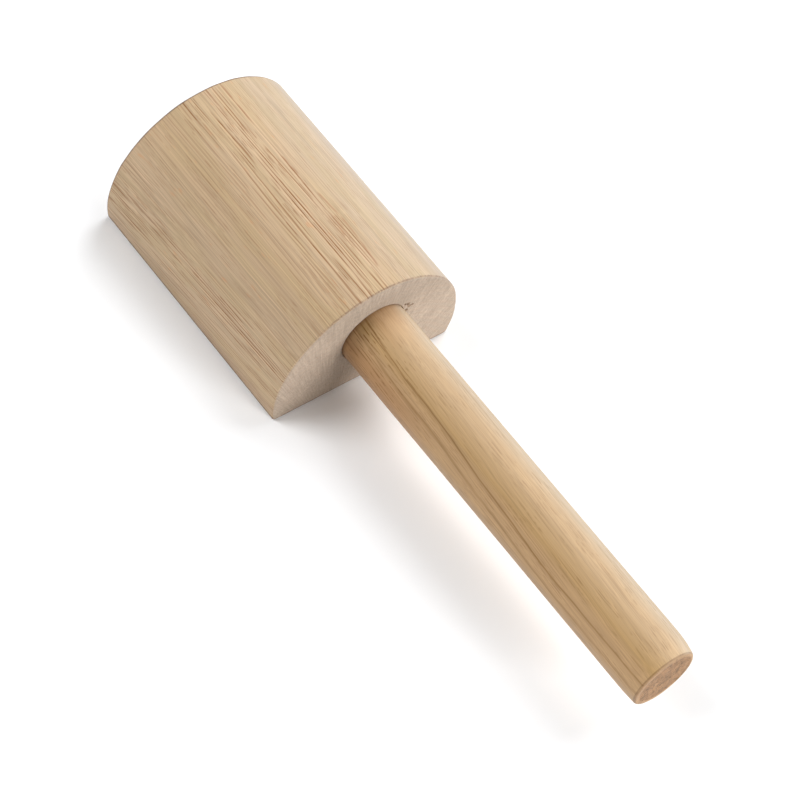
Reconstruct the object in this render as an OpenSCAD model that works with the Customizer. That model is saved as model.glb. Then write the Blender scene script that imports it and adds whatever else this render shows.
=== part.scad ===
// Wooden meat mallet: a solid D-section head with a round dowel handle glued into its end grain.
// Origin: centre of the flat striking face. +X runs along the handle, +Z points up from the flat.
// All sizes are in millimetres.

/* [Head] */
// Length of the head, along the handle
head_length = 118; // [90:1:150]
// Diameter of the round the head is turned to, which is also its width
head_diameter = 91; // [84:1:110]
// How far below the middle of that round the flat striking face is cut
flat_depth = 12; // [8:0.5:20]
// Radius of the head's eased edges
head_edge = 1.2; // [0.5:0.1:3]

/* [Handle] */
// Diameter of the dowel
handle_diameter = 30; // [26:0.5:32]
// Height of the dowel's axis above the striking face
handle_height = 30; // [27:0.5:31]
// Length of the handle outside the head
grip_length = 182; // [120:1:240]
// Radius of the eased edge at the handle's free end
handle_edge = 1.5; // [0.5:0.1:4]

/* [Glued joint] */
// Length of dowel inside the head
tenon_length = 60; // [40:1:75]
// Chamfer that leads the tenon's tip into the bore
tip_chamfer = 1.5; // [0.5:0.1:3]
// Thickness of the glue all round the tenon, which is sanded down by this much to fit the bore
glue_gap = 0.2; // [0.16:0.02:0.5]
// Depth of glue between the tenon's tip and the bottom of the bore
glue_pool = 1; // [0.5:0.1:3]
// Chamfer round the mouth of the bore
mouth_chamfer = 0.6; // [0.3:0.1:1.5]

/* [Hidden] */
$fn = 128;
head_radius = head_diameter / 2;
handle_radius = handle_diameter / 2;
// The bore is drilled at the dowel's own size
bore_radius = handle_radius;
tenon_radius = bore_radius - glue_gap;
bore_depth = tenon_length + glue_pool;
// The handle comes out of this end of the head
near_end = head_length / 2;
// The edge arcs that ease the flat into the round touch both: these are their centres, seen
// from the middle of the round
arc_drop = flat_depth - head_edge;
arc_side = sqrt(pow(head_radius - head_edge, 2) - pow(arc_drop, 2));
// Extra length that carries a cutting shape past the face it cuts
past = 2;

// Stands its children on the handle's axis, with their +Z along +X, starting at from_x
module along_handle(from_x) {
    translate([from_x, 0, handle_height]) rotate([0, 90, 0]) children();
}

// Section of the head across the grain: x is the width, y the height from the middle of the
// round. It is wider than the round above the two arcs, so the turned barrel sets that part.
module flat_with_eased_corners() {
    reach = 2 * head_radius;
    out = reach / (head_radius - head_edge);
    polygon([
        [0, 0],
        [out * arc_side, -out * arc_drop],
        [reach, reach],
        [-reach, reach],
        [-out * arc_side, -out * arc_drop]
    ]);
    translate([-arc_side, -flat_depth]) square([2 * arc_side, flat_depth]);
    for (side = [-1, 1])
        translate([side * arc_side, -arc_drop]) circle(r = head_edge);
}

// Half section of a turned bar, x its radius and y its length, with both rims eased
module turned_profile(radius, length, edge) {
    square([radius - edge, length]);
    translate([0, edge]) square([radius, length - 2 * edge]);
    for (y = [edge, length - edge])
        translate([radius - edge, y]) circle(r = edge);
}

// Cuts the quarter round along the edge between the flat and one end face
module flat_end_edge_cut() {
    difference() {
        translate([near_end - head_edge, -head_radius, -past])
            cube([head_edge + past, head_diameter, head_edge + past]);
        translate([near_end - head_edge, 0, head_edge]) rotate([90, 0, 0])
            cylinder(h = head_diameter + 2 * past, r = head_edge, center = true);
    }
}

module head_blank() {
    difference() {
        intersection() {
            translate([-near_end, 0, flat_depth]) rotate([0, 90, 0])
                rotate_extrude() turned_profile(head_radius, head_length, head_edge);
            translate([-near_end - past, 0, flat_depth]) rotate([90, 0, 90])
                linear_extrude(head_length + 2 * past) flat_with_eased_corners();
        }
        flat_end_edge_cut();
        mirror([1, 0, 0]) flat_end_edge_cut();
    }
}

// Blind hole drilled into the end grain, with a small chamfer at its mouth
module bore() {
    along_handle(near_end - bore_depth) cylinder(h = bore_depth + past, r = bore_radius);
    along_handle(near_end - mouth_chamfer)
        cylinder(
            h = mouth_chamfer + past,
            r1 = bore_radius,
            r2 = bore_radius + mouth_chamfer + past
        );
}

// One solid length of dowel: the grip at full size, and the tenon sanded down to fit the bore
module dowel() {
    along_handle(near_end - tenon_length)
        rotate_extrude() {
            translate([0, tenon_length]) {
                square([handle_radius, grip_length - handle_edge]);
                square([handle_radius - handle_edge, grip_length]);
                translate([handle_radius - handle_edge, grip_length - handle_edge])
                    circle(r = handle_edge);
            }
            polygon([
                [0, 0],
                [tenon_radius - tip_chamfer, 0],
                [tenon_radius, tip_chamfer],
                [tenon_radius, tenon_length + past],
                [0, tenon_length + past]
            ]);
        }
}

module head() {
    color([0.80, 0.68, 0.52])
        difference() {
            head_blank();
            bore();
        }
}

module handle() {
    color([0.80, 0.62, 0.40]) dowel();
}

// Cured glue: a thin sleeve round the tenon, closed by the pool at the bottom of the bore
module glue_film() {
    color([0.93, 0.87, 0.68])
        difference() {
            along_handle(near_end - bore_depth)
                cylinder(h = bore_depth - mouth_chamfer, r = bore_radius);
            dowel();
        }
}

head();
handle();
glue_film();
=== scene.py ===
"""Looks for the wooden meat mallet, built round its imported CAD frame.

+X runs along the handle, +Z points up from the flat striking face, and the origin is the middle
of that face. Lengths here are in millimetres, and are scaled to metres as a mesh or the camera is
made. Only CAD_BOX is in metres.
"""

import math
from types import SimpleNamespace

import bmesh
import bpy
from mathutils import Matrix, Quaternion, Vector, noise


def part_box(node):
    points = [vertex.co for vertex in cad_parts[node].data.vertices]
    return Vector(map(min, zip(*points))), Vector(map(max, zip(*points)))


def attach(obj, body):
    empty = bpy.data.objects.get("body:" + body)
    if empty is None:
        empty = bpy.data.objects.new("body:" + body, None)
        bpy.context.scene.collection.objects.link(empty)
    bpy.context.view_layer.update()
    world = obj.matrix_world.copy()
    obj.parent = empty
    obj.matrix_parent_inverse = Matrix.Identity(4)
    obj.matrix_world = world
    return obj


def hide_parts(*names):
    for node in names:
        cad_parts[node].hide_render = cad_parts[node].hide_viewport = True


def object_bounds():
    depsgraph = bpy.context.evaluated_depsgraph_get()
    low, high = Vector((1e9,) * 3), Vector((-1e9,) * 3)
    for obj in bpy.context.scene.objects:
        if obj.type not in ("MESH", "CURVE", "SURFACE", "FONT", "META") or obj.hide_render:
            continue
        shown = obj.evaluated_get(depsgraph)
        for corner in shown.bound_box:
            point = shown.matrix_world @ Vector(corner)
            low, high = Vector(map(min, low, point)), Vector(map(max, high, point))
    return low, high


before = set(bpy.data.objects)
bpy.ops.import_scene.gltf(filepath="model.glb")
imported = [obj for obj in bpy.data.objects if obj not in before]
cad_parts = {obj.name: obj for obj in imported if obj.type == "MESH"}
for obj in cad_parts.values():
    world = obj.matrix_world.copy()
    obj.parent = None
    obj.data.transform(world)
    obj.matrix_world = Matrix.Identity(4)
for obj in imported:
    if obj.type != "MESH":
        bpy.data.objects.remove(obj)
CAD_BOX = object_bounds()

MM = 0.001


# ---------------------------------------------------------------- sizes taken from the frame


def node_box(name):
    """Lowest and highest corner of a CAD node, in millimetres."""
    low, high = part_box(name)
    return low / MM, high / MM


HEAD_LOW, HEAD_HIGH = node_box("head")
HANDLE_LOW, HANDLE_HIGH = node_box("handle")
GLUE_LOW, GLUE_HIGH = node_box("glue_film")

ROUND_RADIUS = HEAD_HIGH.y
ROUND_MIDDLE = HEAD_HIGH.z - ROUND_RADIUS
FAR_FACE = HEAD_LOW.x
NEAR_FACE = HEAD_HIGH.x
HANDLE_RADIUS = HANDLE_HIGH.y
HANDLE_AXIS = (HANDLE_LOW.z + HANDLE_HIGH.z) / 2
HANDLE_END = HANDLE_HIGH.x
TENON_TIP = HANDLE_LOW.x
BORE_RADIUS = GLUE_HIGH.y
BORE_BOTTOM = GLUE_LOW.x
GLUE_FRONT = GLUE_HIGH.x

# ---------------------------------------------------------------- sizes of the finer detail

CORNER_RADIUS = 1.5  # eased long corners between the flat and the round
RIM_RADIUS = (0.7, 1.35)  # eased end edges of the head, least and most
HAND_SANDING = 0.13  # how deep the sander's low spots are in the head
DOWEL_SANDING = 0.1  # the same in the handle
MOUTH_WIDTH = (0.04, 0.45)  # worn chamfer round the bore, least and most
MOUTH_WORN_SIDE = math.radians(150)  # where it is widest, from +Y towards +Z
MOUTH_DEPTH = 0.8
GLUE_GAP = 0.2
TENON_CHAMFER = 1.5
SHOULDER_RUN = 3.0  # length over which the dowel grows from the tenon to its full size
SHOULDER_STEP = 0.05
HANDLE_RIM = (0.8, 1.5)  # eased edge of the handle's free end, least and most
END_TAPER_RUN = 14.0  # the sander also slimmed the last stretch of the handle
END_TAPER = 1.7
CHIP_DEPTH = 1.1  # grain torn out beside the bore
CHIP_PITS = (  # y, z and radius of each pit
    (15.6, 34.0, 0.75), (16.7, 35.9, 0.8), (15.7, 37.8, 0.85), (18.2, 36.2, 0.5),
    (14.3, 38.3, 0.55),
)


# ---------------------------------------------------------------- mesh building


def clamp(value, low=0.0, high=1.0):
    return max(low, min(high, value))


def smooth_step(value, low, high):
    t = clamp((value - low) / (high - low))
    return t * t * (3 - 2 * t)


def between(share, limits):
    return limits[0] + (limits[1] - limits[0]) * share


def wander(x, y, z, size):
    """Smooth noise from 0 to 1, whose features are about size millimetres across."""
    return clamp(0.5 + 0.6 * noise.noise(Vector((x, y, z)) / size))


def even_steps(start, stop, count):
    """count + 1 values from start to stop."""
    return [start + (stop - start) * i / count for i in range(count + 1)]


class Skin:
    """A closed surface made of rings of points, each joined to the one before with quads."""

    def __init__(self, name, first_point):
        self.name = name
        self.points = [first_point]
        self.faces = []
        self.last = None

    def ring(self, points):
        start = len(self.points)
        count = len(points)
        self.points.extend(points)
        for i in range(count):
            j = (i + 1) % count
            if self.last is None:
                self.faces.append((0, start + j, start + i))
            else:
                self.faces.append((self.last + i, self.last + j, start + j, start + i))
        self.last = start

    def close(self, point):
        count = len(self.points) - self.last
        self.points.append(point)
        tip = len(self.points) - 1
        for i in range(count):
            self.faces.append((self.last + i, self.last + (i + 1) % count, tip))

    def piece(self, sharp_above):
        """The finished object, with shading kept sharp where faces meet at a larger angle."""
        mesh = bpy.data.meshes.new(self.name)
        mesh.from_pydata([Vector(p) * MM for p in self.points], [], self.faces)
        mesh.polygons.foreach_set("use_smooth", [True] * len(mesh.polygons))
        shape = bmesh.new()
        shape.from_mesh(mesh)
        bmesh.ops.recalc_face_normals(shape, faces=shape.faces)
        shape.to_mesh(mesh)
        shape.free()
        mesh.set_sharp_from_angle(angle=math.radians(sharp_above))
        made = bpy.data.objects.new(self.name, mesh)
        bpy.context.scene.collection.objects.link(made)
        return made


# ---------------------------------------------------------------- head


def arc(centre, radius, start, stop, count):
    """Points on an arc with their outward normals, leaving out the last one."""
    made = []
    for angle in even_steps(start, stop, count)[:-1]:
        out = Vector((math.cos(angle), math.sin(angle)))
        made.append((Vector(centre) + out * radius, out))
    return made


def head_outline():
    """The D across the grain: (y, z) points and normals, anticlockwise seen from the handle."""
    drop = ROUND_MIDDLE - CORNER_RADIUS
    reach = ROUND_RADIUS - CORNER_RADIUS
    side = math.sqrt(reach * reach - drop * drop)
    dip = math.asin(drop / reach)
    down = -math.pi / 2
    flat = [
        (Vector((y, 0.0)), Vector((0.0, -1.0))) for y in even_steps(-side, side, 60)[:-1]
    ]
    return (
        flat
        + arc((side, CORNER_RADIUS), CORNER_RADIUS, down, -dip, 8)
        + arc((0.0, ROUND_MIDDLE), ROUND_RADIUS, -dip, math.pi + dip, 264)
        + arc((-side, CORNER_RADIUS), CORNER_RADIUS, math.pi + dip, 1.5 * math.pi, 8)
    )


OUTLINE = head_outline()


def head_point(x, point, normal, inset):
    """A point of the barrel, sunk a little where the sander went over it."""
    low_spot = HAND_SANDING * wander(x * 0.4, point.x, point.y, 14.0)
    low_spot += 0.35 * HAND_SANDING * wander(x, point.y + 80.0, point.x, 4.0)
    keep = 1.0 if inset == 0 else 0.35
    spot = point - normal * (inset + low_spot * keep)
    return Vector((x, spot.x, max(spot.y, 0.0)))


def rim_radius(point, end):
    return between(wander(end, point.x, point.y, 7.0), RIM_RADIUS)


def rim_ring(end, turn):
    """One ring of an eased end edge: turn is 0 on the barrel and 1 on the end face."""
    angle = turn * math.pi / 2
    towards = 1.0 if end > 0 else -1.0
    made = []
    for point, normal in OUTLINE:
        radius = rim_radius(point, end)
        x = end - towards * radius * (1 - math.sin(angle))
        made.append(head_point(x, point, normal, radius * (1 - math.cos(angle))))
    return made


def saw_marks(y, z):
    """How far the end face is sunk: long shallow ripples left by the saw and the sander."""
    ripple = 0.5 + 0.5 * math.sin((z + 0.12 * y) * 1.9 + 2.0 * wander(0.0, y, z, 20.0))
    return 0.05 * ripple + 0.09 * wander(50.0, y, z, 12.0)


def chip_depth(y, z):
    """Depth of the torn grain beside the bore, which is a cluster of ragged pits."""
    depth = 0.0
    for pit_y, pit_z, pit_radius in CHIP_PITS:
        ragged = pit_radius * (0.6 + 0.8 * wander(90.0, y, z, 0.8))
        away = math.hypot(y - pit_y, z - pit_z) / ragged
        depth = max(depth, CHIP_DEPTH * (1 - smooth_step(away, 0.35, 1.25)))
    return depth


def mouth_share(angle):
    ragged = wander(3.0 * math.cos(angle), 3.0 * math.sin(angle), 7.0, 1.6)
    worn = 0.5 + 0.5 * math.cos(angle - MOUTH_WORN_SIDE)
    return 0.45 * ragged + 0.55 * worn


def bore_ring(x, radius, angles):
    return [
        Vector((x, radius * math.cos(a), HANDLE_AXIS + radius * math.sin(a))) for a in angles
    ]


def near_face_rings(skin, rim):
    """Runs the skin from the near rim to the bore, with fine rings where the grain is torn."""
    angles = [math.atan2(p.z - HANDLE_AXIS, p.y) for p in rim]
    mouths = [BORE_RADIUS + between(mouth_share(a), MOUTH_WIDTH) for a in angles]
    spans = [math.hypot(p.y, p.z - HANDLE_AXIS) - m for p, m in zip(rim, mouths)]
    fine_run = 5.0
    fine = even_steps(fine_run, 0.0, 18)
    coarse = even_steps(1.0, 0.0, 14)[1:-1]
    steps = [(fine_run, share) for share in coarse] + [(away, 0.0) for away in fine]
    for away, share in steps:
        points = []
        for a, mouth, span in zip(angles, mouths, spans):
            radius = mouth + away + share * (span - fine_run)
            y = radius * math.cos(a)
            z = HANDLE_AXIS + radius * math.sin(a)
            fade = smooth_step(mouth + span - radius, 0.0, 3.0)
            sunk = saw_marks(y, z) * fade + chip_depth(y, z)
            points.append(Vector((NEAR_FACE - sunk, y, z)))
        skin.ring(points)
    return angles


def bore_rings(skin, angles):
    """The worn chamfer of the bore's mouth, then the bore down to its bottom."""
    for turn in (0.35, 0.7, 1.0):
        points = []
        for a in angles:
            width = between(mouth_share(a), MOUTH_WIDTH) * (1 - turn)
            deep = MOUTH_DEPTH * (0.6 + 0.5 * mouth_share(a)) * turn
            radius = BORE_RADIUS + width
            points += bore_ring(NEAR_FACE - 0.08 - deep, radius, [a])
        skin.ring(points)
    for x in even_steps(NEAR_FACE - 3.0, BORE_BOTTOM, 10):
        skin.ring(bore_ring(x, BORE_RADIUS, angles))
    skin.ring(bore_ring(BORE_BOTTOM, BORE_RADIUS / 2, angles))
    skin.close(Vector((BORE_BOTTOM, 0.0, HANDLE_AXIS)))


def far_face_rings(skin, rim, middle):
    for share in even_steps(0.0, 1.0, 18)[1:-1]:
        points = []
        for p in rim:
            spot = middle.lerp(p, share)
            fade = smooth_step(1 - share, 0.0, 0.12)
            spot.x = FAR_FACE + saw_marks(spot.y + 31.0, spot.z) * fade
            points.append(spot)
        skin.ring(points)


def head_block():
    middle = Vector((FAR_FACE + 0.08, 0.0, HEAD_HIGH.z / 2))
    skin = Skin("head_block", middle)
    turns = even_steps(0.0, 1.0, 6)
    far_face_rings(skin, rim_ring(FAR_FACE, 1.0), middle)
    for turn in reversed(turns):
        skin.ring(rim_ring(FAR_FACE, turn))
    edge = RIM_RADIUS[1] + 0.4
    for x in even_steps(FAR_FACE + edge, NEAR_FACE - edge, 96):
        skin.ring([head_point(x, point, normal, 0.0) for point, normal in OUTLINE])
    for turn in turns:
        skin.ring(rim_ring(NEAR_FACE, turn))
    angles = near_face_rings(skin, rim_ring(NEAR_FACE, 1.0))
    bore_rings(skin, angles)
    return skin.piece(sharp_above=40)


# ---------------------------------------------------------------- handle

HANDLE_SIDES = 160


def handle_angles():
    return [2 * math.pi * i / HANDLE_SIDES for i in range(HANDLE_SIDES)]


def dowel_radius(x, angle):
    """Radius of the finished dowel: full size, less the sander's work."""
    y = 9.0 * math.cos(angle)
    z = 9.0 * math.sin(angle)
    sunk = DOWEL_SANDING * wander(x * 0.3, y, z, 9.0)
    shoulder = SHOULDER_STEP * (1 - smooth_step(x, NEAR_FACE, NEAR_FACE + SHOULDER_RUN))
    run = smooth_step(x, HANDLE_END - END_TAPER_RUN, HANDLE_END + 4.0)
    one_sided = 0.35 + 0.65 * (0.5 + 0.5 * math.cos(angle - 0.5))
    return HANDLE_RADIUS - sunk - shoulder - END_TAPER * run * run * one_sided


def handle_ring(x, radius_at):
    return [
        Vector((x, radius_at(a) * math.cos(a), HANDLE_AXIS + radius_at(a) * math.sin(a)))
        for a in handle_angles()
    ]


def end_rim_ring(turn):
    """One ring of the eased edge at the free end: turn is 0 on the side and 1 on the end."""
    angle = turn * math.pi / 2
    points = []
    for a in handle_angles():
        rim = between(mouth_share(a + 2.0), HANDLE_RIM)
        x = HANDLE_END - rim * (1 - math.sin(angle))
        radius = dowel_radius(x, a) - rim * (1 - math.cos(angle))
        points.append(
            Vector((x, radius * math.cos(a), HANDLE_AXIS + radius * math.sin(a)))
        )
    return points


def end_face_rings(skin):
    """The free end: sawn across the grain and lightly sanded, with tiny torn pits."""
    rim = end_rim_ring(1.0)
    middle = Vector((HANDLE_END, 0.0, HANDLE_AXIS))
    for share in even_steps(1.0, 0.0, 26)[1:-1]:
        points = []
        for p in rim:
            spot = middle.lerp(p, share)
            rough = 0.14 * wander(20.0, spot.y, spot.z, 5.0)
            rough += 0.1 * wander(40.0, spot.y, spot.z, 1.1)
            spot.x = HANDLE_END - rough * smooth_step(1 - share, 0.0, 0.15)
            points.append(spot)
        skin.ring(points)
    skin.close(Vector((HANDLE_END - 0.12, 0.0, HANDLE_AXIS)))


def handle_dowel():
    skin = Skin("handle_dowel", Vector((TENON_TIP, 0.0, HANDLE_AXIS)))
    tenon = BORE_RADIUS - GLUE_GAP
    skin.ring(handle_ring(TENON_TIP, lambda a: tenon / 2))
    skin.ring(handle_ring(TENON_TIP, lambda a: tenon - TENON_CHAMFER))
    for x in even_steps(TENON_TIP + TENON_CHAMFER, NEAR_FACE - 1.0, 20):
        skin.ring(handle_ring(x, lambda a: tenon))
    for x in even_steps(NEAR_FACE - 0.5, HANDLE_END - HANDLE_RIM[1] - 0.3, 190):
        skin.ring(handle_ring(x, lambda a, x=x: dowel_radius(x, a)))
    for turn in even_steps(0.0, 1.0, 7):
        skin.ring(end_rim_ring(turn))
    end_face_rings(skin)
    return skin.piece(sharp_above=40)


# ---------------------------------------------------------------- glue

SQUEEZE_OUT = ((0.72, 0.5), (2.35, 0.35), (4.4, 0.45))  # where beads showed, and how wide


def bead(angle):
    """0 where the glue stops short of the mouth, 1 in the middle of a squeezed-out bead."""
    share = 0.0
    for middle, width in SQUEEZE_OUT:
        away = abs((angle - middle + math.pi) % (2 * math.pi) - math.pi)
        share = max(share, 1 - smooth_step(away / width, 0.2, 1.0))
    return share


def glue_front(angle):
    ragged = 0.5 * wander(5.0 * math.cos(angle), 5.0 * math.sin(angle), 3.0, 1.1)
    return GLUE_FRONT - 0.9 + ragged + 0.5 * bead(angle)


def glue_sleeve():
    """Cured glue: the pool at the bottom of the bore and the sleeve up to its ragged front."""
    tenon = BORE_RADIUS - GLUE_GAP
    skin = Skin("glue_sleeve", Vector((BORE_BOTTOM, 0.0, HANDLE_AXIS)))
    skin.ring(handle_ring(BORE_BOTTOM, lambda a: BORE_RADIUS * 0.5))
    skin.ring(handle_ring(BORE_BOTTOM, lambda a: BORE_RADIUS))
    for x in even_steps(BORE_BOTTOM + 1.0, GLUE_FRONT - 1.5, 20):
        skin.ring(handle_ring(x, lambda a: BORE_RADIUS))
    for ahead, out in ((-0.3, 0.0), (-0.05, 0.12), (0.0, 0.02), (-0.1, -0.16)):
        points = []
        for a in handle_angles():
            swell = out * bead(a) * 2.0 if out > 0 else out
            radius = BORE_RADIUS + swell
            x = glue_front(a) + ahead
            points.append(
                Vector((x, radius * math.cos(a), HANDLE_AXIS + radius * math.sin(a)))
            )
        skin.ring(points)
    for x in even_steps(GLUE_FRONT - 1.5, TENON_TIP + TENON_CHAMFER, 20):
        skin.ring(handle_ring(x, lambda a: tenon))
    skin.ring(handle_ring(TENON_TIP, lambda a: tenon - TENON_CHAMFER))
    skin.ring(handle_ring(TENON_TIP, lambda a: tenon / 2))
    skin.close(Vector((TENON_TIP, 0.0, HANDLE_AXIS)))
    return skin.piece(sharp_above=50)


# ---------------------------------------------------------------- materials


def colour(red, green, blue):
    """A colour given as screen values from 0 to 255, as the shader wants it."""
    linear = []
    for part in (red, green, blue):
        v = part / 255
        linear.append(v / 12.92 if v <= 0.04045 else ((v + 0.055) / 1.055) ** 2.4)
    return (*linear, 1.0)


class Field:
    """A value that varies over the surface: one node's output, with ordinary arithmetic."""

    def __init__(self, paint, socket):
        self.paint = paint
        self.socket = socket

    def __add__(self, other):
        return self.paint.math("ADD", self, other)

    def __sub__(self, other):
        return self.paint.math("SUBTRACT", self, other)

    def __rsub__(self, other):
        return self.paint.math("SUBTRACT", other, self)

    def __mul__(self, other):
        return self.paint.math("MULTIPLY", self, other)

    def __truediv__(self, other):
        return self.paint.math("DIVIDE", self, other)

    __radd__ = __add__
    __rmul__ = __mul__

    def size(self):
        return self.paint.math("ABSOLUTE", self)

    def sine(self):
        return self.paint.math("SINE", self)

    def step(self, low, high):
        """0 below low, 1 above high, and a smooth change between them."""
        return self.paint.smooth(self, low, high)


class Paint:
    """One procedural material. Each method adds a node and hands back its output."""

    def __init__(self, name):
        self.material = bpy.data.materials.new(name)
        self.material.use_nodes = True
        self.nodes = self.material.node_tree.nodes
        self.links = self.material.node_tree.links
        self.nodes.clear()

    def node(self, kind, **settings):
        made = self.nodes.new("ShaderNode" + kind)
        for name, value in settings.items():
            setattr(made, name, value)
        return made

    def feed(self, socket, value):
        if isinstance(value, Field):
            self.links.new(value.socket, socket)
        else:
            socket.default_value = value

    def math(self, operation, a, b=0.0):
        made = self.node("Math", operation=operation)
        self.feed(made.inputs[0], a)
        self.feed(made.inputs[1], b)
        return Field(self, made.outputs[0])

    def smooth(self, value, low, high):
        made = self.node("MapRange", interpolation_type="SMOOTHSTEP")
        self.feed(made.inputs["Value"], value)
        made.inputs["From Min"].default_value = low
        made.inputs["From Max"].default_value = high
        return Field(self, made.outputs["Result"])

    def position(self):
        """x, y and z on the object, in millimetres."""
        place = self.node("TexCoord")
        split = self.node("SeparateXYZ")
        self.links.new(place.outputs["Object"], split.inputs[0])
        return [Field(self, out) / MM for out in split.outputs]

    def facing(self, axis):
        """How far the surface faces along an axis of the mallet, from -1 to 1."""
        place = self.node("TexCoord")
        split = self.node("SeparateXYZ")
        self.links.new(place.outputs["Normal"], split.inputs[0])
        return Field(self, split.outputs[axis])

    def facing_end(self):
        """1 on faces cut across the grain, 0 on faces along it."""
        return self.facing("X").size().step(0.55, 0.92)

    def place(self, x, y, z):
        made = self.node("CombineXYZ")
        for socket, value in zip(made.inputs, (x, y, z)):
            self.feed(socket, value)
        return Field(self, made.outputs[0])

    def noise(self, x, y, z, detail=2.0, roughness=0.5):
        """Noise from 0 to 1 with features about 1 across in the coordinates given."""
        made = self.node("TexNoise")
        self.feed(made.inputs["Vector"], self.place(x, y, z))
        made.inputs["Scale"].default_value = 1.0
        made.inputs["Detail"].default_value = detail
        made.inputs["Roughness"].default_value = roughness
        return Field(self, made.outputs[0])

    def ramp(self, value, low, high, stops):
        """Colours or greys along value from low to high. A stop is (value, colour or grey)."""
        made = self.node("ValToRGB")
        self.feed(made.inputs["Fac"], (value - low) / (high - low))
        elements = made.color_ramp.elements
        while len(elements) < len(stops):
            elements.new(0.5)
        for element, (at, shade) in zip(elements, stops):
            element.position = (at - low) / (high - low)
            element.color = shade if isinstance(shade, tuple) else (shade, shade, shade, 1)
        return Field(self, made.outputs["Color"])

    def along(self, value, stops):
        """A number that changes with value. A stop is (value, number), lowest value first."""
        low, high = stops[0][0], stops[-1][0]
        least = min(number for _, number in stops)
        most = max(number for _, number in stops)
        shares = [(at, (number - least) / (most - least)) for at, number in stops]
        return self.ramp(value, low, high, shares) * (most - least) + least

    def mix(self, share, a, b, blend="MIX"):
        made = self.node("Mix", data_type="RGBA", blend_type=blend)
        self.feed(made.inputs["Factor"], share)
        self.feed(made.inputs[6], a)
        self.feed(made.inputs[7], b)
        return Field(self, made.outputs[2])

    def shaded(self, tint, amount):
        """tint made darker or lighter by amount, which is 1 for no change."""
        made = self.node("VectorMath", operation="SCALE")
        self.feed(made.inputs[0], tint)
        self.feed(made.inputs["Scale"], amount)
        return Field(self, made.outputs[0])

    def finish(self, tint, roughness, height, relief, **fixed):
        """The shader. relief is how many millimetres a height of 1 stands up."""
        bump = self.node("Bump")
        bump.inputs["Strength"].default_value = 1.0
        bump.inputs["Distance"].default_value = relief * MM
        self.feed(bump.inputs["Height"], height)
        shader = self.node("BsdfPrincipled")
        self.feed(shader.inputs["Base Color"], tint)
        self.feed(shader.inputs["Roughness"], roughness)
        self.links.new(bump.outputs[0], shader.inputs["Normal"])
        for name, value in fixed.items():
            shader.inputs[name.replace("_", " ")].default_value = value
        output = self.node("OutputMaterial")
        self.links.new(shader.outputs[0], output.inputs["Surface"])
        return self.material


# Growth rings of the head run round a pith this far from the middle of the flat
PITH_Y = -14.1
PITH_Z = -37.5
PITH_LEAN = 0.047  # the pith moves this much towards +Y for each millimetre along +X

# Places round the barrel are degrees from the crown, positive towards +Y
# How many degrees the lines climb for each millimetre along +X
LINES_CLIMB = ((-180, 0.0), (-110, 0.13), (-90, 0.11), (-68, 0.05), (-50, 0.0), (180, 0.0))
# How open the grain is round the barrel
HEAD_PORES = (
    (-180, 0.4), (-97, 0.6), (-91, 0.8), (-87, 1.0), (-78, 0.95), (-70, 0.7), (-56, 0.14),
    (-44, 0.12), (-36, 0.2), (-26, 0.36), (-18, 0.7), (-9, 1.0), (3, 1.0), (20, 0.95),
    (24, 0.2), (100, 0.3), (180, 0.4),
)
# Lines and flecks along the head's grain, then its end grain, then painted shade in the bore's
# mouth, the torn grain, and painted shade along the rims and the hem that is partly dirt
VESSEL_LINE = colour(134, 87, 44)
CAP_BORDER = colour(146, 94, 58)
OLIVE_TINGE = colour(176, 156, 98)
WARM_FLECK = colour(206, 142, 92)
END_GRAIN = colour(163, 147, 130)
END_RING = colour(158, 138, 120)
END_PORE = colour(120, 94, 76)
MOUTH_SHADE = colour(156, 106, 70)
TORN_GRAIN = colour(92, 66, 46)
RIM_SHADE_AND_DIRT = colour(112, 90, 76)
HEM_SHADE_AND_DIRT = colour(84, 64, 54)
# Tones of the head, and where each holds round the barrel: partly the wood's own tone and partly
# painted light and shade, set side by side to how the light fell round it
PALE_WOOD = colour(188, 162, 131)
WARM_WOOD = colour(186, 158, 124)
PLAIN_WOOD = colour(183, 154, 122)
HEAD_TONES = (
    (-180, PLAIN_WOOD), (-120, PLAIN_WOOD), (-90, PALE_WOOD), (-54, PALE_WOOD),
    (-33, WARM_WOOD), (-14, PALE_WOOD), (5, PALE_WOOD), (180, PLAIN_WOOD),
)
# The same on the plain cap along the crown, which turns greyer down the +Y side: partly the wood's
# tone, partly painted sheen where that side catches glare
CAP_WOOD = colour(185, 163, 136)
COOL_WOOD_AND_SHEEN = colour(178, 161, 141)
GREY_WOOD_AND_SHEEN = colour(172, 151, 130)
CAP_TONES = (
    (-180, PALE_WOOD), (8, PALE_WOOD), (17, CAP_WOOD), (34, CAP_WOOD), (46, COOL_WOOD_AND_SHEEN),
    (90, GREY_WOOD_AND_SHEEN), (180, PLAIN_WOOD),
)
# The plain cap along the crown starts at a reddish line: its place at some points along +X
CAP_EDGE = (
    (-59, 4.7), (-45, 4.7), (-32, 4.3), (-19, 4.6), (-4, 5.3), (8, 7.4), (21, 8.5),
    (36, 7.6), (46, 6.3), (59, 4.0),
)
DEGREES = 180 / math.pi


def grain_lines(paint, x, y, z, length, width, seed):
    """Noise drawn out along the grain: how long its streaks are, and how far apart."""
    return paint.noise(x / length + seed, y / width, z / width + seed, detail=1.0)


def thin_lines(paint, x, side, spacing, length, seed):
    """Fine lines along the grain, side by side and broken up into runs: 1 in the middle of one."""
    drift = paint.noise(x / 130 + seed, side / 5, seed, detail=1.0) * 3
    wave = ((side / spacing + drift) * 2 * math.pi).sine()
    runs = paint.noise(x / length + seed, side / spacing, seed, detail=2.0).step(0.44, 0.58)
    return wave.step(0.1, 0.9) * runs


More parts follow.
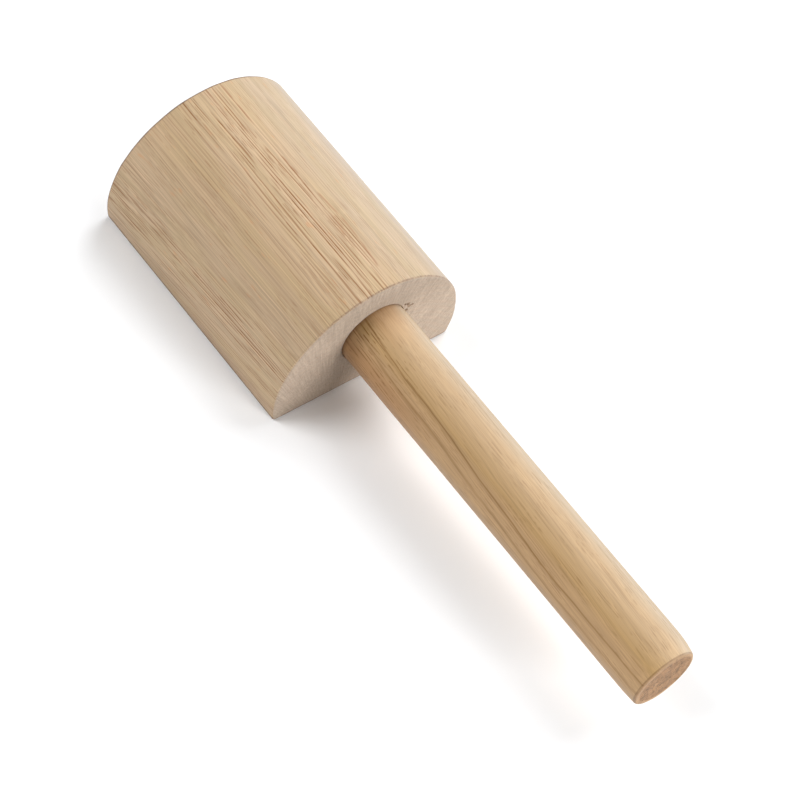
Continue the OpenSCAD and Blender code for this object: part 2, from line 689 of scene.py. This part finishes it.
def head_places(paint):
    """Where a point of the head is, with the ways round and across the grain made to wander."""
    x, y, z = paint.position()
    theta = paint.math("ARCTAN2", y, z - ROUND_MIDDLE) * DEGREES
    around = theta - (x - FAR_FACE) * paint.along(theta, LINES_CLIMB)
    wobble = (paint.noise(x / 10, y / 4, z / 4) - 0.5) * 0.3
    wobble = wobble + (paint.noise(x / 50 + 2, y / 14, z / 14) - 0.5) * 1.4
    flat = 1 - z.step(0.4, 1.4)
    return SimpleNamespace(
        x=x,
        y=y,
        z=z,
        theta=theta,
        around=around,
        beyond=theta - paint.along(x, CAP_EDGE) + wobble,
        across=y + wobble,
        up=z - x * 0.13 * (1 - z.step(14.0, 46.0)) + wobble,
        side=around * (1 - flat) * (ROUND_RADIUS / DEGREES) + y * flat + wobble * 0.5,
    )


def head_lines(paint, at):
    """The lines along the grain, and how far a point is into the plain cap."""
    cap = at.beyond.step(-0.5, 0.3) * (1 - at.theta.step(94.0, 102.0))
    pores = paint.along(at.around, HEAD_PORES) * (1 - cap * 0.82)
    threads = thin_lines(paint, at.x, at.side, 1.5, 30, 2.3)
    patchy = paint.noise(at.x / 24, at.side / 3.4, 7.6, detail=1.0).step(0.42, 0.56)
    dash = thin_lines(paint, at.x, at.side, 1.05, 7, 5.7) * patchy
    return SimpleNamespace(
        cap=cap,
        middling=grain_lines(paint, at.x, at.across, at.up, 110, 1.6, 4.0),
        silk=grain_lines(paint, at.x, at.across, at.up, 160, 0.6, 1.0),
        fine=grain_lines(paint, at.x, at.across, at.up, 70, 0.36, 7.0),
        pale=thin_lines(paint, at.x, at.side + 0.62, 1.5, 45, 2.3) * pores,
        streak=threads * pores * 0.85 + dash * (pores * 0.35 + 0.3),
    )


def head_grain(paint, at, lines):
    """How light the wood is along the grain: about 1, and more where it is paler."""
    broad = paint.noise(at.x / 70, at.across / 8, at.up / 8, detail=2.0)
    far_flank = (1 - at.x.step(FAR_FACE + 1, FAR_FACE + 39)) * at.theta.step(-74.0, -62.0)
    far_flank = far_flank * (1 - at.theta.step(-46.0, -20.0))
    far_side = at.theta.step(18.0, 34.0) * (1 - at.theta.step(110.0, 140.0))
    middling = lines.middling - 0.5
    grain = 0.985 + far_flank * 0.09 + (broad - 0.5) * 0.12 + middling * 0.05
    grain = grain + (lines.silk - 0.5) * (0.14 + far_side * 0.3) + middling * far_side * 0.14
    return grain + (lines.fine - 0.5) * 0.75 + lines.pale * 0.13


def head_long_tint(paint, at, lines):
    """Colour of the head along the grain: vessel lines, short dashes and the cap's border."""
    tint = paint.mix(
        lines.cap,
        paint.ramp(at.around, -180, 180, HEAD_TONES),
        paint.ramp(at.theta, -180, 180, CAP_TONES),
    )
    tint = paint.shaded(tint, head_grain(paint, at, lines))
    olive = paint.noise(at.x / 34 + 4, at.across / 7, at.up / 7, detail=1.0).step(0.4, 0.66)
    tint = paint.mix(olive * 0.14, tint, OLIVE_TINGE)
    tint = paint.mix(lines.streak * 0.85, tint, VESSEL_LINE)
    stretches = paint.noise(at.x / 11 + 1, 0.4, 0.9, detail=1.0).step(0.42, 0.62)
    border = (1 - at.beyond.size().step(0.1, 0.9)) * stretches
    tint = paint.mix(border * 0.5, tint, CAP_BORDER)
    warm = paint.noise(at.x / 7, at.across / 1.8 + 30, at.up / 1.8, detail=1.0).step(0.66, 0.8)
    return paint.mix(warm * 0.3, tint, WARM_FLECK)


def head_end_tint(paint, x, y, z):
    """Colour of the head's end grain: growth rings round the pith, rays and open pores."""
    from_pith_y = y - PITH_Y - (x - FAR_FACE) * PITH_LEAN
    from_pith_z = z - PITH_Z
    ring = paint.math("SQRT", from_pith_y * from_pith_y + from_pith_z * from_pith_z)
    turn = paint.math("ARCTAN2", from_pith_y, from_pith_z)
    ray = paint.noise(turn * 110, ring / 11, x / 5, detail=1.0)
    growth = (ring * 2.1 + paint.noise(x / 9, y / 12, z / 12) * 3).sine() * 0.5 + 0.5
    speck = paint.noise(x / 2, y / 0.8, z / 0.8, detail=1.0)
    cut = 1 + (ray - 0.5) * 0.55 + (growth - 0.5) * 0.08 + (speck - 0.5) * 0.6
    tint = paint.mix(growth * 0.5, END_GRAIN, END_RING)
    tint = paint.shaded(tint, cut * (1 - z.step(32.0, 48.0) * 0.1))
    pit = speck.step(0.58, 0.7) * paint.noise(x / 3, y / 7, z / 7).step(0.42, 0.6)
    return paint.mix(pit * 0.45, tint, END_PORE)


def head_mouth_tint(paint, at, end, tint):
    """tint darkened with painted shade in the bore's mouth, and darkened in the torn grain beside
    it.
    """
    mouth_z = at.z - HANDLE_AXIS
    from_bore = paint.math("SQRT", at.y * at.y + mouth_z * mouth_z) - BORE_RADIUS
    in_mouth = (1 - from_bore.step(0.0, 0.5)) * at.x.step(NEAR_FACE - 4, NEAR_FACE - 0.3)
    # painted shade in the bore's mouth, where shade falls in the recess
    tint = paint.mix(in_mouth * 0.5, tint, MOUTH_SHADE)
    sunk = 1 - at.x.step(NEAR_FACE - 0.75, NEAR_FACE - 0.25)
    sunk = sunk * at.x.step(NEAR_FACE - 2.0, NEAR_FACE - 1.7) * end
    return paint.mix(sunk * 0.6, tint, TORN_GRAIN)


def head_edge_tint(paint, at, end, tint):
    """tint darkened along the end rims and along the hem, where the sides meet the flat: painted
    shade of the eased rims and of the floor's contact, partly dirt.
    """
    near_half = at.x.step(0.0, 1.0)
    edge = at.x.size().step(NEAR_FACE - 1.2, NEAR_FACE - 0.5) * (1 - end)
    edge = edge * (1 - near_half * (1 - at.theta.step(-58.0, -24.0)) * 0.75)
    broken_up = paint.noise(at.x / 2, at.y / 1.1, at.z / 1.1).step(0.36, 0.6)
    line = 0.75 - near_half * 0.4 + broken_up * 0.4
    # painted shade of the eased end rims, partly dirt
    tint = paint.mix(edge * line, tint, RIM_SHADE_AND_DIRT)
    # painted contact shade along the bottom edges of the sides and ends, partly grime
    hem = (1 - at.z.step(1.4, 3.0)) * (1 - end) + (1 - at.z.step(0.4, 1.6)) * end
    hem = hem * paint.facing("Z").step(-0.9, -0.5)
    return paint.mix(hem * 0.7, tint, HEM_SHADE_AND_DIRT)


def head_wood():
    """Bare sanded hardwood: long lines along the grain, rings and rays across it."""
    paint = Paint("head_wood")
    at = head_places(paint)
    end = paint.facing_end()
    lines = head_lines(paint, at)
    long_tint = head_long_tint(paint, at, lines)
    tint = paint.mix(end, long_tint, head_end_tint(paint, at.x, at.y, at.z))
    tint = head_mouth_tint(paint, at, end, tint)
    tint = head_edge_tint(paint, at, end, tint)
    rough = paint.noise(at.x / 1.2, at.y / 0.3, at.z / 0.3, detail=2.0)
    height = lines.silk * 0.3 + lines.fine * 0.3 - lines.streak * 0.8 + rough * end * 0.8
    roughness = 0.66 + (lines.silk - 0.5) * 0.12 + lines.streak * 0.12 + end * 0.1
    return paint.finish(tint, roughness, height, 0.05, IOR=1.38, Sheen_Weight=0.1)


# Places round the handle are degrees from its top, positive towards -Y
GRIP_LINE = (
    (59, 27), (69, 31), (80, 36.5), (89, 39.6), (104, 40.8), (119, 43.8), (139, 51),
    (159, 55.5), (174, 61), (189, 63.5), (209, 63.5), (241, 64),
)
TOP_LINE = ((59, -36), (90, -32), (120, -28), (149, -24), (170, -17), (189, -9), (241, 6))
# How dark the wood is by degrees beyond the long line that winds along the handle
GRIP_SHADES = (
    (-150, 0.0), (-62, 0.0), (-46, 0.1), (-36, 0.06), (-20, 0.12), (-2.4, 0.15),
    (-1.0, 0.95), (0.2, 0.95), (1.2, 0.35), (6, 0.1), (16, 0.12), (19, 0.6), (20.4, 0.6),
    (22.5, 0.15), (50, 0.1), (90, 0.0), (150, 0.0),
)
# Lines along the handle's grain, then its end grain with a painted highlight on its eased rim,
# then a stain, a dark outline, painted shade at the joint that is partly dirt, and a warm tint
WINDING_LINE = colour(118, 78, 20)
TOP_STREAK = colour(140, 104, 66)
THREAD = colour(128, 92, 54)
SHORT_DASH = colour(112, 72, 26)
DISC_GRAIN = colour(139, 106, 73)
DISC_RING = colour(121, 88, 57)
DISC_PORE = colour(88, 58, 36)
RIM_HIGHLIGHT = colour(198, 170, 136)
SAWN_EDGE = colour(104, 74, 48)
SIDE_STAIN = colour(156, 104, 58)
TIP_OUTLINE = colour(96, 66, 40)
JOINT_SHADE_AND_DIRT = colour(118, 78, 44)
WARM_START = colour(172, 120, 64)
# Tones of the handle, and where each holds round it: partly the wood's own tone and partly painted
# light and shade; the pale grey tone near the edge on the +Y side is painted sheen, and the dull
# tone at that edge is painted shade
HONEY = colour(189, 154, 112)
SHADED_HONEY = colour(172, 145, 107)
EDGE_SHEEN_HONEY = colour(188, 169, 144)
TOP_HONEY = colour(187, 158, 122)
YELLOW_HONEY = colour(180, 145, 95)
UNDER_HONEY = colour(182, 151, 117)
GRIP_TONES = (
    (-180, HONEY), (-60, SHADED_HONEY), (-38, EDGE_SHEEN_HONEY), (-8, TOP_HONEY), (8, TOP_HONEY),
    (38, YELLOW_HONEY), (52, HONEY), (84, HONEY), (100, UNDER_HONEY), (180, HONEY),
)


def handle_places(paint):
    """Where a point of the handle is, with the ways round and across the grain made to wander."""
    x, y, z = paint.position()
    rise = z - HANDLE_AXIS
    turn = paint.math("ARCTAN2", 0.0 - y, rise) * DEGREES
    out = x - NEAR_FACE
    wobble = (paint.noise(x / 14, y / 4, z / 4) - 0.5) * 0.9
    wobble = wobble + (paint.noise(x / 40 + 3, y / 9, z / 9) - 0.5) * 1.4
    return SimpleNamespace(
        x=x,
        y=y,
        z=z,
        rise=rise,
        turn=turn,
        across=y + out * 0.045 + wobble,
        up=z + out * 0.03 + wobble,
        side=turn * (HANDLE_RADIUS / DEGREES) - out * 0.05 + wobble,
        beyond=turn - paint.along(x, GRIP_LINE) + wobble * 3.0,
        beside_top=(turn - paint.along(x, TOP_LINE) + wobble * 3.0).size(),
    )


def handle_lines(paint, at):
    """The lines along the grain, and the broad changes between them."""
    near_head = (1 - at.x.step(NEAR_FACE + 7, NEAR_FACE + 45)) * at.turn.step(10.0, 34.0)
    cluster = paint.noise(at.x / 16, at.y / 4, at.z / 4 + 5, detail=1.0).step(0.46, 0.6)
    dash = thin_lines(paint, at.x, at.side, 1.3, 4.5, 5.7)
    return SimpleNamespace(
        broad=paint.noise(at.x / 70, at.across / 6 + 11, at.up / 6, detail=1.0),
        middling=grain_lines(paint, at.x, at.across, at.up, 90, 1.9, 4.0),
        silk=grain_lines(paint, at.x, at.across, at.up, 110, 0.6, 1.0),
        fine=grain_lines(paint, at.x, at.across, at.up, 60, 0.36, 7.0),
        run=paint.noise(at.x / 45 + 6, at.y / 20, at.z / 20, detail=1.0).step(0.3, 0.6),
        dash=dash * (cluster * 0.45 + near_head * 0.75),
    )


def handle_long_tint(paint, at, lines):
    """Colour of the handle along the grain: the two winding lines, streaks and short dashes."""
    threads = thin_lines(paint, at.x, at.side, 1.25, 24, 2.3)
    band = paint.ramp(at.beyond, -150, 150, GRIP_SHADES) * (0.56 + lines.run * 0.16)
    top = (1 - at.beside_top.step(0.5, 4.0)) * lines.run
    top = top * at.x.step(NEAR_FACE + 21, NEAR_FACE + 61)
    tint = paint.mix(band, paint.ramp(at.turn, -180, 180, GRIP_TONES), WINDING_LINE)
    tint = paint.mix(top * 0.28, tint, TOP_STREAK)
    grain = 1 + (lines.broad - 0.5) * 0.14 + (lines.middling - 0.5) * 0.12
    grain = grain + (lines.silk - 0.5) * 0.2 + (lines.fine - 0.5) * 0.45
    tint = paint.shaded(tint, grain)
    tint = paint.mix(threads * lines.run * 0.24, tint, THREAD)
    stain = (1 - at.x.step(NEAR_FACE + 25, NEAR_FACE + 65)) * at.turn.step(50.0, 76.0)
    tint = paint.mix(stain * 0.4, tint, SIDE_STAIN)
    return paint.mix(lines.dash * 0.6, tint, SHORT_DASH)


def handle_end_tint(paint, at, broad, speck, blotch):
    """Colour of the handle's end grain: growth rings, open pores and a painted highlight on the
    eased rim, brightest towards +Y and the bottom.
    """
    growth = ((at.y * 0.9 + at.rise * 0.35) * 2.3 + broad * 4.0).sine() * 0.5 + 0.5
    tint = paint.mix(growth * 0.4, DISC_GRAIN, DISC_RING)
    tint = paint.shaded(tint, 1.03 + (speck - 0.5) * 2.6 + (blotch - 0.5) * 1.1)
    tint = paint.mix(speck.step(0.55, 0.68) * 0.6, tint, DISC_PORE)
    from_rim = HANDLE_RADIUS - paint.math("SQRT", at.y * at.y + at.rise * at.rise)
    eased = from_rim.step(0.8, 1.1) * (1 - from_rim.step(2.2, 3.0))
    # painted highlight on the eased rim, brightest towards +Y and the bottom
    highlit = 0.25 + at.y.step(-10.0, 4.0) * (1 - at.rise.step(-2.0, 12.0)) * 0.5
    tint = paint.mix(eased * highlit, tint, RIM_HIGHLIGHT)
    sawn = 1 - from_rim.step(0.6, 1.2)
    return paint.mix(sawn * (0.05 + blotch * 0.6), tint, SAWN_EDGE)


def handle_edge_tint(paint, at, end, blotch, tint):
    """tint darkened round the free end's rim and, with painted shade that is partly dirt, at the
    joint; warmed next to the head.
    """
    # a darker line round the side just short of the free end's rim
    outline = at.x.step(HANDLE_END - 1.2, HANDLE_END - 0.8) * (1 - end)
    tint = paint.mix(outline * (0.3 + blotch * 0.4), tint, TIP_OUTLINE)
    near_joint = 1 - at.x.step(NEAR_FACE - 0.2, NEAR_FACE + 2.2)
    # painted shade on the handle next to the head, partly dirt in the joint
    tint = paint.mix(near_joint * 0.4, tint, JOINT_SHADE_AND_DIRT)
    warm_start = (1 - at.x.step(NEAR_FACE, NEAR_FACE + 26)) * at.turn.step(-50.0, -20.0)
    warm_start = warm_start * (1 - at.turn.step(12.0, 34.0))
    return paint.mix(warm_start * 0.3, tint, WARM_START)


def handle_wood():
    """Dowel with a thin satin finish: two dark lines that wind along it, and fine streaks."""
    paint = Paint("handle_wood")
    at = handle_places(paint)
    end = paint.facing_end()
    lines = handle_lines(paint, at)
    speck = paint.noise(at.x / 2, at.y / 0.75, at.z / 0.75, detail=2.0)
    blotch = paint.noise(at.x / 2, at.y / 3.2, at.z / 3.2, detail=1.0)
    end_tint = handle_end_tint(paint, at, lines.broad, speck, blotch)
    tint = paint.mix(end, handle_long_tint(paint, at, lines), end_tint)
    tint = handle_edge_tint(paint, at, end, blotch, tint)
    height = lines.silk * 0.3 + lines.fine * 0.3 - lines.dash * 0.6 + speck * end * 0.9
    roughness = 0.56 + (lines.broad - 0.5) * 0.12 + lines.dash * 0.12 + end * 0.16
    return paint.finish(tint, roughness, height, 0.035, IOR=1.38, Sheen_Weight=0.05)


CLEAR_GLUE = colour(222, 202, 150)
CLOUDY_GLUE = colour(196, 168, 112)


def cured_glue():
    """Yellowish wood glue that has set hard, a little cloudy."""
    paint = Paint("cured_glue")
    x, y, z = paint.position()
    cloud = paint.noise(x / 2, y / 1.5, z / 1.5, detail=3.0)
    tint = paint.mix(cloud, CLEAR_GLUE, CLOUDY_GLUE)
    roughness = 0.3 + cloud * 0.15
    return paint.finish(tint, roughness, cloud, 0.05, IOR=1.5)


# ---------------------------------------------------------------- stage, light and camera


FLOOR_TONES = ((0.95, 0.96, 0.975, 1), (0.955, 0.965, 0.98, 1))
FLOOR_HALF = 4000.0  # half the floor's width


def pale_floor():
    paint = Paint("pale_floor")
    x, y, z = paint.position()
    cloud = paint.noise(x / 300, y / 300, z / 300)
    tint = paint.mix(cloud, *FLOOR_TONES)
    return paint.finish(tint, 0.9, cloud, 0.001)


def floor():
    half = FLOOR_HALF * MM
    mesh = bpy.data.meshes.new("floor")
    corners = [(-half, -half, 0), (half, -half, 0), (half, half, 0), (-half, half, 0)]
    mesh.from_pydata(corners, [], [(0, 1, 2, 3)])
    made = bpy.data.objects.new("floor", mesh)
    bpy.context.scene.collection.objects.link(made)
    mesh.materials.append(pale_floor())


def direction(azimuth, elevation):
    """The way from the middle to something that far round from +X towards +Y, and that high."""
    level = math.cos(elevation)
    return Vector((
        level * math.cos(azimuth),
        level * math.sin(azimuth),
        math.sin(elevation),
    ))


SURROUND = 0.17  # brightness of the white walls all round
SOFTBOXES = (  # where each stands from +X towards +Y, how high, its half width, its strength
    (-130, 46, 17, 1.82),
    (98, 41, 27, 2.4),
    (13, 18, 14, 3.05),
)


def softbox(azimuth, elevation, half_width, strength):
    lamp = bpy.data.lights.new("softbox", "SUN")
    lamp.energy = strength
    lamp.angle = math.radians(2 * half_width)
    made = bpy.data.objects.new("softbox", lamp)
    made.rotation_mode = "QUATERNION"
    away = direction(math.radians(azimuth), math.radians(elevation))
    made.rotation_quaternion = (-away).to_track_quat("-Z", "Y")
    bpy.context.scene.collection.objects.link(made)


def lighting():
    world = bpy.data.worlds.new("white_walls")
    world.use_nodes = True
    sky = world.node_tree.nodes["Background"]
    sky.inputs["Color"].default_value = (1, 1, 1, 1)
    sky.inputs["Strength"].default_value = SURROUND
    bpy.context.scene.world = world
    for box in SOFTBOXES:
        softbox(*box)


VIEW_AZIMUTH = math.radians(-50.89)  # where the camera stands, from +X towards +Y
VIEW_ELEVATION = math.radians(53.53)
VIEW_ROLL = math.radians(16.96)
VIEW_DISTANCE = 1046.0
AIM_OFFSET = Vector((-1.06, -9.84, 0.0))  # from the middle of the mallet's box
LENS = 121.4
SENSOR = 36.0


def camera():
    aim = (CAD_BOX[0] + CAD_BOX[1]) / 2 + AIM_OFFSET * MM
    back = direction(VIEW_AZIMUTH, VIEW_ELEVATION)
    lens = bpy.data.cameras.new("camera")
    lens.lens = LENS
    lens.sensor_width = SENSOR
    made = bpy.data.objects.new("camera", lens)
    made.location = aim + back * (VIEW_DISTANCE * MM)
    made.rotation_mode = "QUATERNION"
    upright = (-back).to_track_quat("-Z", "Y")
    made.rotation_quaternion = upright @ Quaternion((0, 0, 1), VIEW_ROLL)
    bpy.context.scene.collection.objects.link(made)
    bpy.context.scene.camera = made
    bpy.context.scene.view_settings.view_transform = "Standard"


# ---------------------------------------------------------------- assembly


def dress(piece, material, node):
    piece.data.materials.append(material)
    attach(piece, "root")
    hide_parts(node)


dress(head_block(), head_wood(), "head")
dress(handle_dowel(), handle_wood(), "handle")
dress(glue_sleeve(), cured_glue(), "glue_film")
floor()
lighting()
camera()
